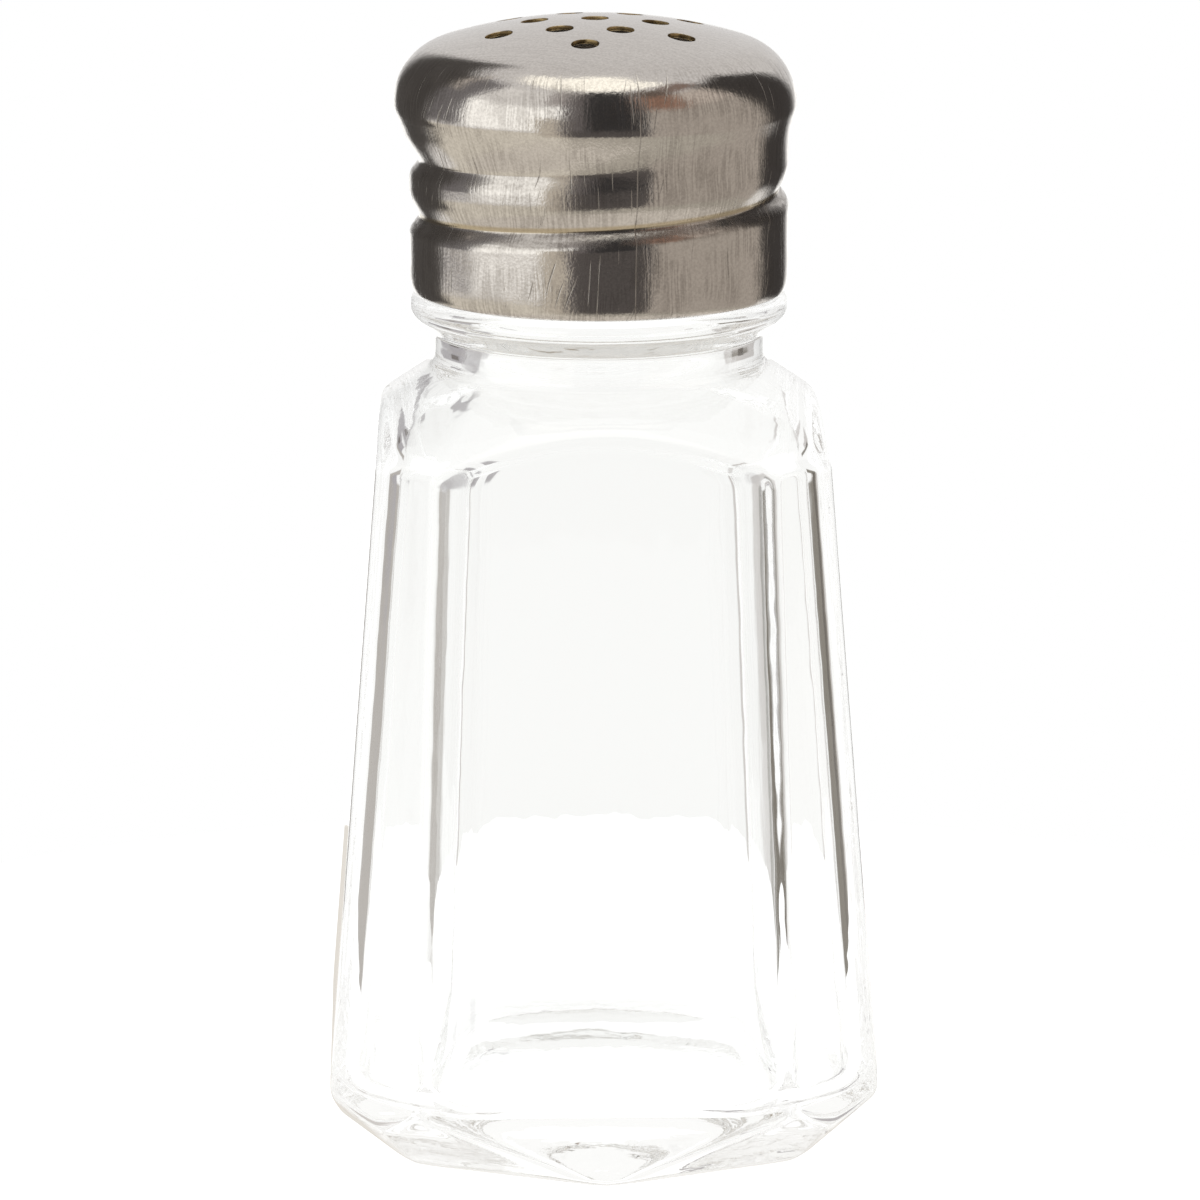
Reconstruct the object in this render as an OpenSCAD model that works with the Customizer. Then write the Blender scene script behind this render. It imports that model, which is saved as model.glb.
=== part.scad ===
// Paneled glass table shaker with a one-piece screw top.
// Millimetres, +Z up, origin on the table under the centre of the foot.
// The wide panels face +X, -X, +Y and -Y, and a narrow panel stands between each two.
// The jar is one leaning eight-sided block on a smaller eight-sided foot. A turned outline cuts it,
// so the panels end in arcs at the shoulder. The cap is drawn sheet with a rolled thread.

/* [Glass body] */
// Distance across two wide panels where they would meet the table
base_w = 50.4; // [48.8:0.2:56]
// How much farther out the narrow panels stand than the wide ones
narrow_step = 4.6; // [3.6:0.1:6]
// Lean of every panel towards the axis
panel_draft = 4.57; // [3.5:0.01:5.2]
// Rounding of the upright ridges between panels
ridge_r = 1.9; // [0.8:0.1:2.6]
// Glass thickness behind the wide panels
wall = 2.5; // [2:0.1:3.4]
// How much thicker the glass is behind the narrow panels
narrow_wall_step = 1.1; // [0:0.1:1.6]
// Rounding of the cavity's upright corners
cavity_ridge_r = 7; // [5:0.5:8]
// Thickness of the glass under the cavity
floor_t = 5.6; // [4.8:0.1:8]
// Rounding between the cavity's floor and its sides
floor_r = 3.4; // [2:0.2:4.4]

/* [Foot and heel] */
// Distance from the axis to the foot's eight corners, which lie under the middles of the panels
foot_r = 24.1; // [22.4:0.1:24.4]
// Rounding of those corners
foot_corner_r = 2; // [1:0.5:4]
// Height of the heel under the middles of the panels
heel_h = 5.1; // [4:0.1:5.8]
// Height of the heel at the ridges
heel_ridge_h = 6.6; // [6:0.1:9]
// Rounding of the foot's outer edge
foot_edge_r = 0.9; // [0.6:0.1:1.4]
// Least width of the ring that stands on the table
bearing_w = 3.8; // [2:0.2:5]
// Depth of the shallow hollow inside that ring
push_up = 1.3; // [0.6:0.1:2]

/* [Shoulder and neck] */
// Height of the neck's root, where the shoulder starts
neck_z = 70.5; // [68:0.1:73]
// How far the neck stands out past the finish above the bead
neck_step = 0.3; // [0:0.05:0.8]
// Fillet between the neck and the shoulder
neck_fillet_r = 1.5; // [0.8:0.1:2]
// Slope of the shoulder
shoulder_slope = 33.5; // [30:0.5:38]
// Glass thickness of the shoulder
shoulder_wall = 2.1; // [1.8:0.1:3.2]
// Radius of the bore through the neck
bore_r = 12; // [10:0.1:12.6]
// Fillet between the bore and the cavity's shoulder
bore_fillet_r = 3.8; // [2:0.1:5]
// Height from the neck's root to the top of the bead
neck_h = 6.35; // [6:0.05:7]
// How far the bead that the cap comes down on stands out past the cap's skirt
bead_step = 0.4; // [0.2:0.05:0.9]
// Rounding of the bead's outer edge
bead_edge_r = 1.3; // [1:0.05:1.5]
// Slope of the bead's underside
bead_under_slope = 35; // [25:1:45]
// Fillet between the bead's underside and the neck
bead_fillet_r = 1; // [0.5:0.1:1.2]

/* [Thread on the glass] */
// Height of the threaded finish above the bead
finish_h = 12.8; // [12:0.1:14]
// Radius of the finish at the thread's root, which the neck, bead and cap follow
finish_r = 14.6; // [14:0.1:16]
// Rounding of the mouth's outer edge
mouth_edge_r = 1.2; // [0.6:0.1:1.6]
// Rise of the thread in one turn, right-handed
thread_lead = 5.08; // [4.6:0.01:5.4]
// Width of the glass thread at its root
thread_w = 2; // [1.4:0.1:2.4]
// Length of the glass thread in degrees
thread_sweep = 360; // [300:15:390]
// How far the glass thread stands off its root
thread_h = 0.9; // [0.7:0.05:1.1]
// Gap between the thread's crest and the cap when it is lifted straight off
thread_gap = 0.15; // [0.1:0.01:0.3]

/* [Steel cap] */
// Thickness of the sheet
sheet = 0.45; // [0.35:0.05:0.6]
// How far the plain skirt stands back from the rolled band
skirt_step = 0.33; // [0.1:0.01:0.5]
// Gap between the skirt's edge and the bead below it
seat_gap = 0.1; // [0.05:0.05:0.3]
// Height of the plain skirt below the rolled band
skirt_h = 3.6; // [3.2:0.1:4]
// Height of the band that holds the rolled thread
band_h = 10; // [9.6:0.1:11]
// Height from the band to the widest line of the dome
waist_h = 3.25; // [2.8:0.05:4]
// How far the widest line of the dome stands out past the band
dome_step = 1.02; // [0.6:0.02:1.6]
// Radius of the dome's turned-down edge
dome_edge_r = 5.63; // [4.5:0.01:6.2]
// Radius of the shallow crown
crown_r = 48.3; // [40:0.1:70]

/* [Rolled thread in the cap] */
// Depth of the rolled groove
groove_depth = 0.88; // [0.7:0.02:1]
// Width of the rolled groove
groove_w = 2.7; // [2.2:0.1:3]
// Length of the rolled groove in degrees
groove_sweep = 500; // [420:10:520]
// Height of the groove's first turn above the cap's edge, at the -X side
groove_h = 6.6; // [6.2:0.1:6.8]

/* [Sprinkle holes] */
// Distance between neighbouring holes
hole_pitch = 5.4; // [4.6:0.1:6]
// Diameter of one hole
hole_d = 2.4; // [1.6:0.1:3]

/* [Hidden] */

$fn = 96;
// Steps of one arc in a turned outline
arc_steps = 8;
// Steps of the foot's rounded edge
edge_steps = 3;
// Faces round the ridges of the leaning block
ridge_fn = 32;
// Stations round the rolled band, and along one turn of the glass thread
band_stations = 72;
// Levels up the rolled band
band_levels = 22;

// Turn of the foot's corners against the ridges of a regular eight-sided block
foot_turn = 22.5;
// Share of a wide panel's width over which its lower edge is level
heel_level_share = 0.6;

// Overrun of every cut
overrun = 1;
// Thickness of the end slices of the leaning block
slice_t = 0.02;
// How far the rolled band laps into the sheet above and below it
band_lap = 0.4;
// How much thinner each face of the band is, so that its ends lie inside the sheet
band_inset = 0.04;

// Shares that shape the thread's section and where it runs out
crest_share = 0.2;
root_share = 0.5;
sunk_share = 0.2;
run_out_share = 0.08;
// Degrees over which the rolled groove fades in and out
groove_fade = 45;
// Angle where the rolled groove starts, at the back of the cap
groove_start = 90;
// Angle where the glass thread starts, at the front of the jar
thread_start = -90;
// Turn of the hole pattern about the axis
hole_turn = -7;

// Heights of the jar, from the table up
bead_z = neck_z + neck_h;
rim_z = bead_z + finish_h;
// Heights of the cap, from its edge up
skirt_z = bead_z + seat_gap;
band_z = skirt_z + skirt_h;
waist_z = band_z + band_h;
widest_z = waist_z + waist_h;

// Radii outwards from the finish: neck, thread crest, rolled band, skirt, bead and dome
neck_r = finish_r + neck_step;
crest_r = finish_r + thread_h;
band_r = crest_r + thread_gap + sheet + groove_depth;
skirt_r = band_r - skirt_step;
bead_r = skirt_r + bead_step;
dome_r = band_r + dome_step;

// Half the width across wide panels at the table, and its loss per unit of height
half_w = base_w / 2;
lean = tan(panel_draft);

// Points of an arc round centre c, in order from angle a0 to angle a1
function arc(c, r, a0, a1, n = arc_steps) =
    [for (i = [0 : n]) let (a = a0 + (a1 - a0) * i / n) [c.x + r * cos(a), c.y + r * sin(a)]];

// Smooth step from 0 to 1
function ease(t) = let (u = max(0, min(1, t))) u * u * (3 - 2 * u);

// The same list from its other end
function reversed(list) = [for (i = [len(list) - 1 : -1 : 0]) list[i]];

// Eight-sided outline with wide sides at distance a and narrow sides at distance c
function octagon(a, c) =
    let (v = sqrt(2) * c - a)
    [[a, -v], [a, v], [v, a], [-v, a], [-a, v], [-a, -v], [-v, -a], [v, -a]];

// Distance from the axis to the outer face of the wide panels at a height
function wide_at(z) = half_w - lean * z;

// Thin rounded eight-sided slice at height z, with its wide sides at distance a and its narrow ones at c
module slice(z, a, c, r) {
    translate([0, 0, z])
        linear_extrude(slice_t)
            offset(r = r, $fn = ridge_fn)
                polygon(octagon(a - r, c - r));
}

// Slice of the outside, and of the cavity pulled in from its sides
module outer_slice(z) {
    slice(z, wide_at(z), wide_at(z) + narrow_step, ridge_r);
}

module cavity_slice(z, pull) {
    a = wide_at(z) - wall - pull;
    slice(z, a, a + narrow_step - narrow_wall_step, cavity_ridge_r - pull);
}

// Lower edge of the panels, level in the middle of the wide ones and lowest in the middle of the narrow ones
function heel_line(a, c) =
    let (v = sqrt(2) * c - a, level = heel_level_share * v, mid = (a + v) / 2)
    [[a, -level], [a, level], [mid, mid], [level, a], [-level, a], [-mid, mid],
     [-a, level], [-a, -level], [-mid, -mid], [-level, -a], [level, -a], [mid, -mid]];

// Eight-sided foot with a rounded edge
foot_flat_r = foot_r * cos(foot_turn);
module foot_slices() {
    for (i = [0 : edge_steps]) {
        a = 90 * i / edge_steps;
        flat = foot_flat_r - foot_edge_r * (1 - sin(a));
        rotate(foot_turn)
            slice(foot_edge_r * (1 - cos(a)), flat, flat, foot_corner_r);
    }
}

// Leaning block of glass up to the neck's root, with a plain drum above it for what is turned
module glass_block() {
    hull() {
        foot_slices();
        translate([0, 0, heel_h])
            linear_extrude(slice_t)
                polygon(heel_line(wide_at(heel_h), wide_at(heel_h) + narrow_step));
        outer_slice(heel_ridge_h);
        outer_slice(neck_z);
    }
    translate([0, 0, neck_z])
        cylinder(r = reach_r, h = rim_z + overrun - neck_z);
}

// Leaning block of the cavity with a rounded floor, and a drum above it
module cavity_block() {
    hull() {
        for (i = [0 : arc_steps]) {
            a = 90 * i / arc_steps;
            cavity_slice(floor_t + floor_r * (1 - sin(a)), floor_r * (1 - cos(a)));
        }
        cavity_slice(neck_z, 0);
    }
    translate([0, 0, neck_z])
        cylinder(r = reach_r, h = rim_z + overrun - neck_z);
}

// A radius that no ridge reaches
reach_r = half_w + 2 * narrow_step;

// Shoulder: down from the fillet at the neck's root
fillet_z = neck_z + neck_fillet_r * tan(45 - shoulder_slope / 2);
shoulder_z = neck_z - (reach_r - neck_r) * tan(shoulder_slope);

// Bead: its edge, then its sloping underside down to a fillet on the neck
bead_centre = [bead_r - bead_edge_r, bead_z - bead_edge_r];
bead_turn = 90 - bead_under_slope;
under_run = bead_centre.x + bead_edge_r * cos(bead_turn) - neck_r - bead_fillet_r * (1 - cos(bead_turn));
under_z = bead_centre.y - (bead_edge_r + bead_fillet_r) * sin(bead_turn) - under_run * tan(bead_under_slope);

// Outline of all that is turned on the glass: shoulder, neck, bead and mouth
function turned_outline() = concat(
    [[0, 0], [reach_r, 0], [reach_r, shoulder_z]],
    arc([neck_r + neck_fillet_r, fillet_z], neck_fillet_r, 270 - shoulder_slope, 180),
    arc([neck_r + bead_fillet_r, under_z], bead_fillet_r, 180, 180 - bead_turn),
    arc(bead_centre, bead_edge_r, -bead_turn, 90),
    [[finish_r, bead_z]],
    arc([finish_r - mouth_edge_r, rim_z - mouth_edge_r], mouth_edge_r, 0, 90),
    [[0, rim_z]]
);

// Hollow: a shoulder parallel to the outer one, and a fillet up into the bore
hollow_root_z = neck_z + (neck_r - bore_r) * tan(shoulder_slope) - shoulder_wall / cos(shoulder_slope);
hollow_side_z = hollow_root_z - (reach_r - bore_r) * tan(shoulder_slope);
bore_fillet_z = hollow_root_z + bore_fillet_r * tan(45 - shoulder_slope / 2);

// Outline of what is turned in the hollow: inner shoulder and bore
function hollow_outline() = concat(
    [[0, 0], [reach_r, 0], [reach_r, hollow_side_z]],
    arc([bore_r + bore_fillet_r, bore_fillet_z], bore_fillet_r, 270 - shoulder_slope, 180),
    [[bore_r, rim_z + overrun], [0, rim_z + overrun]]
);

module glass_jar() {
    color("#dfe7e6")
        difference() {
            union() {
                intersection() {
                    glass_block();
                    rotate_extrude() polygon(turned_outline());
                }
                glass_thread();
            }
            intersection() {
                cavity_block();
                rotate_extrude() polygon(hollow_outline());
            }
            foot_hollow();
        }
}

// Shallow dished hollow inside the bearing ring
module foot_hollow() {
    r = foot_flat_r - foot_edge_r - bearing_w;
    dish_r = (r * r + push_up * push_up) / (2 * push_up);
    rotate_extrude()
        polygon(concat(
            [[0, -overrun], [r, -overrun]],
            arc([0, push_up - dish_r], dish_r, acos(r / dish_r), 90)
        ));
}

// Height of the rolled groove at an angle that keeps counting from turn to turn
function groove_z(angle) = skirt_z + groove_h + thread_lead * (angle - 180) / 360;

// Raised right-hand thread, half a turn above the rolled groove, run out at both ends
module glass_thread() {
    stations = round(band_stations * thread_sweep / 360);
    finish_t = finish_r - bore_r;
    sunk_r = finish_r - finish_t * sunk_share;
    core_r = sunk_r - finish_t * sunk_share;
    points = [for (i = [0 : stations])
        let (
            t = i / stations,
            angle = thread_start + thread_sweep * t,
            run = ease(min(t, 1 - t) / run_out_share),
            crest = sunk_r + (crest_r - sunk_r) * run,
            z = groove_z(angle + 180),
            section = [[core_r, -root_share], [sunk_r, -root_share], [crest, -crest_share],
                       [crest, crest_share], [sunk_r, root_share], [core_r, root_share]]
        )
        for (p = section)
            [p.x * cos(angle), p.x * sin(angle), z + p.y * thread_w]];
    n = 6;
    sides = [for (i = [0 : stations - 1]) for (k = [0 : n - 1])
        let (a = i * n + k, b = i * n + (k + 1) % n)
        each [[a, b, b + n], [a, b + n, a + n]]];
    ends = [
        [for (k = [n - 1 : -1 : 0]) k],
        [for (k = [0 : n - 1]) stations * n + k]
    ];
    polyhedron(points, concat(sides, ends), convexity = 6);
}

// Depth of the rolled groove at an angle and a height
function groove_at(angle, z) =
    max([for (turn = [0 : 1])
        let (
            counted = angle + 360 * turn,
            along = counted - groove_start,
            fade = ease(along / groove_fade) * ease((groove_sweep - along) / groove_fade),
            off = (z - groove_z(counted)) / (groove_w / 2)
        )
        abs(off) < 1 ? groove_depth * fade * (1 + cos(180 * off)) / 2 : 0]);

// Outer radius of the cap's side at a height, without the groove
function side_r(z) =
    z > waist_z
        ? band_r + (dome_r - band_r) * (1 - cos(180 * min(1, (z - waist_z) / waist_h))) / 2
        : skirt_r + (band_r - skirt_r) * ease(2 * (z - skirt_z) / skirt_h - 1);

// Band of sheet with the groove rolled in, a tube with its outer and inner face in levels
module rolled_band() {
    n = band_stations;
    m = band_levels;
    low_z = band_z - band_lap;
    rise = (band_h + 2 * band_lap) / m;
    skins = [for (depth = [band_inset, sheet - band_inset])
        for (j = [0 : m]) for (i = [0 : n - 1])
            let (
                angle = groove_start + 360 * i / n,
                z = low_z + rise * j,
                r = side_r(z) - depth - groove_at(angle, z)
            )
            [r * cos(angle), r * sin(angle), z]];
    inner = n * (m + 1);
    sides = [for (j = [0 : m - 1]) for (i = [0 : n - 1])
        let (a = j * n + i, b = j * n + (i + 1) % n)
        each [
            [a, a + n, b + n], [a, b + n, b],
            [inner + a, inner + b + n, inner + a + n], [inner + a, inner + b, inner + b + n]
        ]];
    ends = [for (i = [0 : n - 1])
        let (a = i, b = (i + 1) % n, c = m * n + a, d = m * n + b)
        each [
            [a, b, inner + b], [a, inner + b, inner + a],
            [c, inner + d, d], [c, inner + c, inner + d]
        ]];
    polyhedron(skins, concat(sides, ends), convexity = 8);
}

// Side of the cap between two heights, as a line of points at a depth into the sheet
function side_line(z0, z1, depth) =
    [for (i = [0 : arc_steps]) let (z = z0 + (z1 - z0) * i / arc_steps) [side_r(z) - depth, z]];

// Turned-down edge and shallow crown of the dome, two tangent arcs at a depth into the sheet
crown_turn = asin((dome_r - dome_edge_r) / (crown_r - dome_edge_r));
crown_z = widest_z - (crown_r - dome_edge_r) * cos(crown_turn);
function dome_line(depth) = concat(
    arc([dome_r - dome_edge_r, widest_z], dome_edge_r - depth, 0, 90 - crown_turn),
    arc([0, crown_z], crown_r - depth, 90 - crown_turn, 90)
);

// Turned piece of sheet between an outer line and the same line on its inner face
module turned_sheet(outer, inner) {
    rotate_extrude()
        polygon(concat(outer, reversed(inner)));
}

// Middle, ring of six, and six more in the notches of that ring
function ring_place(i) = hole_pitch * [cos(hole_turn + 60 * i), sin(hole_turn + 60 * i)];
hole_places = concat(
    [[0, 0]],
    [for (i = [0 : 5]) ring_place(i)],
    [for (i = [0 : 5]) ring_place(i) + ring_place(i + 1)]
);

module shaker_cap() {
    color("#8f8a86")
        difference() {
            union() {
                turned_sheet(side_line(skirt_z, band_z, 0), side_line(skirt_z, band_z, sheet));
                rolled_band();
                turned_sheet(
                    concat(side_line(waist_z, widest_z, 0), dome_line(0)),
                    concat(side_line(waist_z, widest_z, sheet), dome_line(sheet))
                );
            }
            for (p = hole_places)
                translate([p.x, p.y, widest_z])
                    cylinder(d = hole_d, h = crown_r);
        }
}

glass_jar();
shaker_cap();
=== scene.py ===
"""Table shaker: a clear glass jar with eight leaning panels and a one-piece drawn steel screw top.

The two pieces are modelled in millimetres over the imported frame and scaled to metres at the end.
"""

import logging
import math
from dataclasses import dataclass
from enum import Enum

import bmesh
import bpy
from mathutils import Matrix, Vector


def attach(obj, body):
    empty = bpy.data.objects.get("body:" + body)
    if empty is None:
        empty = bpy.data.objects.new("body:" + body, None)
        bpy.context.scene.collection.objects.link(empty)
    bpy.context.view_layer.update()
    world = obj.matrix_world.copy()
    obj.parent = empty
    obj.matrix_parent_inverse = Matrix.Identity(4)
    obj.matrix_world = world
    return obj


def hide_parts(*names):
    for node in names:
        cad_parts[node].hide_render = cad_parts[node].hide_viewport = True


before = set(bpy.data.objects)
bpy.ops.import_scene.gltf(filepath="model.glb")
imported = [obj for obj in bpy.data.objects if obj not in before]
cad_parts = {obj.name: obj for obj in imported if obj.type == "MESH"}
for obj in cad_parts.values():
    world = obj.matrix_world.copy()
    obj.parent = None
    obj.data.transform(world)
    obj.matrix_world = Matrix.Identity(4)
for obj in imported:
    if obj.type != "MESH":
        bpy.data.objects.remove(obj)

MM = 0.001

log = logging.getLogger("shaker")

Line = list[tuple[float, float]]
Colour = tuple[float, float, float, float]
CLOSE = 1e-4
"""Points nearer than this, in millimetres, count as one."""


class Part(Enum):
    """The two bodies of the object, by their names in the frame."""

    JAR = "jar"
    CAP = "cap"


def arc(cx: float, cz: float, r: float, start: float, end: float, steps: int) -> Line:
    """Points of an arc in a turned outline.

    Args:
        cx: Distance of the centre from the axis.
        cz: Height of the centre.
        r: Radius.
        start: First angle in degrees.
        end: Last angle in degrees.
        steps: Number of steps between them.

    Returns:
        The points, as pairs of radius and height.
    """
    return [(cx + r * math.cos(a), cz + r * math.sin(a)) for a in turns(start, end, steps)]


def turns(start: float, end: float, steps: int) -> list[float]:
    """Evenly spaced angles in radians between two angles in degrees, both included."""
    return [math.radians(start + (end - start) * i / steps) for i in range(steps + 1)]


def straight(a: tuple[float, float], b: tuple[float, float], steps: int) -> Line:
    """Evenly spaced points from a to b, both included."""
    return [
        (a[0] + (b[0] - a[0]) * i / steps, a[1] + (b[1] - a[1]) * i / steps)
        for i in range(steps + 1)
    ]


def ease(t: float) -> float:
    """Smooth step from 0 to 1."""
    u = max(0.0, min(1.0, t))
    return u * u * (3 - 2 * u)


def soft_min(a: float, b: float, k: float) -> float:
    """The smaller of a and b, rounded off where they are within k of each other."""
    h = max(k - abs(a - b), 0.0) / k
    return min(a, b) - h * h * k / 4


def finish_mesh(bm: bmesh.types.BMesh, name: str) -> bpy.types.Object:
    """Closes a bmesh into a smooth shaded object in metres.

    Args:
        bm: The mesh in millimetres, which is freed.
        name: Name of the object.

    Returns:
        The new object, linked to the scene.
    """
    bmesh.ops.scale(bm, vec=(MM, MM, MM), verts=bm.verts)
    for face in bm.faces:
        face.smooth = True
    mesh = bpy.data.meshes.new(name)
    bm.to_mesh(mesh)
    bm.free()
    made = bpy.data.objects.new(name, mesh)
    bpy.context.scene.collection.objects.link(made)
    return made


def take_in(bm: bmesh.types.BMesh, inside: bmesh.types.BMesh) -> None:
    """Adds an inner skin to an outer one.

    Args:
        bm: The outer skin.
        inside: The inner skin, which is freed.
    """
    scrap = bpy.data.meshes.new("inside")
    inside.to_mesh(scrap)
    inside.free()
    bm.from_mesh(scrap)
    bpy.data.meshes.remove(scrap)


@dataclass
class NodeSheet:
    """Short hand for building one node tree."""

    tree: bpy.types.NodeTree

    def add(self, kind: str, **facts: object) -> bpy.types.Node:
        """Adds a node and sets its own properties.

        Args:
            kind: The node's type.
            facts: Its properties, by name.

        Returns:
            The node.
        """
        node = self.tree.nodes.new(kind)
        for key, value in facts.items():
            setattr(node, key, value)
        return node

    def feed(self, socket: bpy.types.NodeSocket, value: object) -> None:
        """Links an output to a socket, or sets a plain value on it.

        Args:
            socket: The socket fed.
            value: The output or the plain value.
        """
        if isinstance(value, bpy.types.NodeSocket):
            self.tree.links.new(value, socket)
        else:
            socket.default_value = value

    def math(self, how: str, *values: object) -> bpy.types.NodeSocket:
        """One Math node and its output.

        Args:
            how: The operation.
            values: Its inputs, in order.

        Returns:
            The node's output.
        """
        node = self.add("ShaderNodeMath", operation=how)
        for socket, value in zip(node.inputs, values):
            self.feed(socket, value)
        return node.outputs[0]

    def step(self, value: object, low: object, high: object) -> bpy.types.NodeSocket:
        """Smooth step of a value from 0 at low to 1 at high.

        Args:
            value: The value.
            low: Where the step starts.
            high: Where it ends.

        Returns:
            The step, from 0 to 1.
        """
        node = self.add("ShaderNodeMapRange", interpolation_type="SMOOTHSTEP")
        self.feed(node.inputs["Value"], value)
        self.feed(node.inputs["From Min"], low)
        self.feed(node.inputs["From Max"], high)
        return node.outputs["Result"]

    def mix(self, share: object, a: object, b: object) -> bpy.types.NodeSocket:
        """Colour a turned into colour b by a share.

        Args:
            share: How much of b there is, from 0 to 1.
            a: The first colour.
            b: The second colour.

        Returns:
            The mixed colour.
        """
        node = self.add("ShaderNodeMix", data_type="RGBA")
        self.feed(node.inputs["Factor"], share)
        colours = [s for s in node.inputs if s.type == "RGBA"]
        self.feed(colours[0], a)
        self.feed(colours[1], b)
        return [s for s in node.outputs if s.type == "RGBA"][0]

    def noise(self, place: object, scale: float, detail: float = 2.0) -> bpy.types.NodeSocket:
        """Noise at a place, as a value.

        Args:
            place: The place.
            scale: Waves per metre.
            detail: How many finer layers it has.

        Returns:
            The noise, round 0.5.
        """
        node = self.add("ShaderNodeTexNoise")
        self.feed(node.inputs["Vector"], place)
        node.inputs["Scale"].default_value = scale
        node.inputs["Detail"].default_value = detail
        return node.outputs["Fac"]

    def joined(self, x: object, y: object, z: object) -> bpy.types.NodeSocket:
        """A vector from three values.

        Args:
            x: Its first value.
            y: Its second value.
            z: Its third value.

        Returns:
            The vector.
        """
        node = self.add("ShaderNodeCombineXYZ")
        for socket, value in zip(node.inputs, (x, y, z)):
            self.feed(socket, value)
        return node.outputs[0]

    def axes(self, place: object) -> tuple[bpy.types.NodeSocket, ...]:
        """The three values of a vector.

        Args:
            place: The vector.

        Returns:
            Its x, y and z.
        """
        node = self.add("ShaderNodeSeparateXYZ")
        self.feed(node.inputs[0], place)
        return tuple(node.outputs)

    def stretched(self, place: object, scale: tuple[float, float, float]) -> bpy.types.NodeSocket:
        """A place with each of its axes scaled.

        Args:
            place: The place.
            scale: The factor of each axis.

        Returns:
            The scaled place.
        """
        node = self.add("ShaderNodeMapping")
        self.feed(node.inputs["Vector"], place)
        node.inputs["Scale"].default_value = scale
        return node.outputs[0]

    def summed(self, start: object, *parts: tuple[object, float]) -> object:
        """A start value, with each part's value times its share added.

        Args:
            start: The value that the sum starts from.
            parts: Pairs of a value and its share.

        Returns:
            The sum.
        """
        for value, share in parts:
            start = self.math("MULTIPLY_ADD", value, share, start)
        return start

    def between(
        self, value: object, low: tuple[float, float], high: tuple[float, float]
    ) -> bpy.types.NodeSocket:
        """A band that fades in over low and out over high."""
        return self.math("MULTIPLY", self.step(value, *low), self.step(value, *high[::-1]))

    def emboss(self, shader: bpy.types.Node, height: object, strength: float, depth: float) -> None:
        """Feeds a height to a shader's normal through a Bump node.

        Args:
            shader: The shader.
            height: The height.
            strength: How strongly it shows.
            depth: The height of a value of 1, in metres.
        """
        bump = self.add("ShaderNodeBump")
        bump.inputs["Strength"].default_value = strength
        bump.inputs["Distance"].default_value = depth
        self.feed(bump.inputs["Height"], height)
        self.feed(shader.inputs["Normal"], bump.outputs[0])


def new_group(name: str, takes: dict[str, str], gives: dict[str, str]) -> NodeSheet:
    """A shader node group with named sockets.

    Args:
        name: Name of the group.
        takes: Input names and their socket types.
        gives: Output names and their socket types.

    Returns:
        The sheet of the group's tree, with its input and output nodes made.
    """
    tree = bpy.data.node_groups.new(name, "ShaderNodeTree")
    for label, kind in takes.items():
        tree.interface.new_socket(label, in_out="INPUT", socket_type=kind)
    for label, kind in gives.items():
        tree.interface.new_socket(label, in_out="OUTPUT", socket_type=kind)
    sheet = NodeSheet(tree)
    sheet.add("NodeGroupInput", name="in")
    sheet.add("NodeGroupOutput", name="out")
    return sheet


def blank_material(name: str) -> tuple[bpy.types.Material, NodeSheet, bpy.types.Node]:
    """A node material with one Principled shader.

    Args:
        name: Name of the material.

    Returns:
        The material, the sheet of its tree and its Principled shader.
    """
    made = bpy.data.materials.new(name)
    made.use_nodes = True
    made.node_tree.nodes.clear()
    sheet = NodeSheet(made.node_tree)
    shader = sheet.add("ShaderNodeBsdfPrincipled")
    out = sheet.add("ShaderNodeOutputMaterial")
    sheet.feed(out.inputs["Surface"], shader.outputs[0])
    return made, sheet, shader


@dataclass(frozen=True)
class Spots:
    """Soft spots of noise, at a scale in waves per metre, which show from low to high."""

    scale: float
    detail: float
    low: float
    high: float

    def mask(self, sheet: NodeSheet, place: object) -> bpy.types.NodeSocket:
        """The spots at a place, as a value from 0 to 1."""
        return sheet.step(sheet.noise(place, self.scale, self.detail), self.low, self.high)


@dataclass(frozen=True)
class ClearGlass:
    """Pressed clear glass with the slight waviness that moulding leaves."""

    tint: Colour = (0.992, 0.996, 0.992, 1)
    ior: float = 1.52
    roughness: float = 0.0
    wave: float = 0.25
    wave_depth: float = 0.0003
    wave_scale: float = 110.0
    wave_detail: float = 1.5
    ripple: float = 0.25
    ripple_scale: float = 560.0
    ripple_detail: float = 1.0
    drawn_out: tuple[float, float, float] = (1.0, 1.0, 0.45)

    def material(self) -> bpy.types.Material:
        """Builds the glass.

        Returns:
            The material.
        """
        made, sheet, shader = blank_material("clear_pressed_glass")
        shader.inputs["Base Color"].default_value = self.tint
        shader.inputs["Roughness"].default_value = self.roughness
        shader.inputs["IOR"].default_value = self.ior
        shader.inputs["Transmission Weight"].default_value = 1.0
        place = sheet.stretched(sheet.add("ShaderNodeTexCoord").outputs["Object"], self.drawn_out)
        waves = sheet.noise(place, self.wave_scale, self.wave_detail)
        ripples = sheet.noise(place, self.ripple_scale, self.ripple_detail)
        sheet.emboss(shader, sheet.summed(waves, (ripples, self.ripple)), self.wave, self.wave_depth)
        return made


@dataclass(frozen=True)
class Mark:
    """How strongly one kind of mark shows in the steel's colour, roughness and height."""

    colour: float
    rough: float
    height: float


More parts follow.
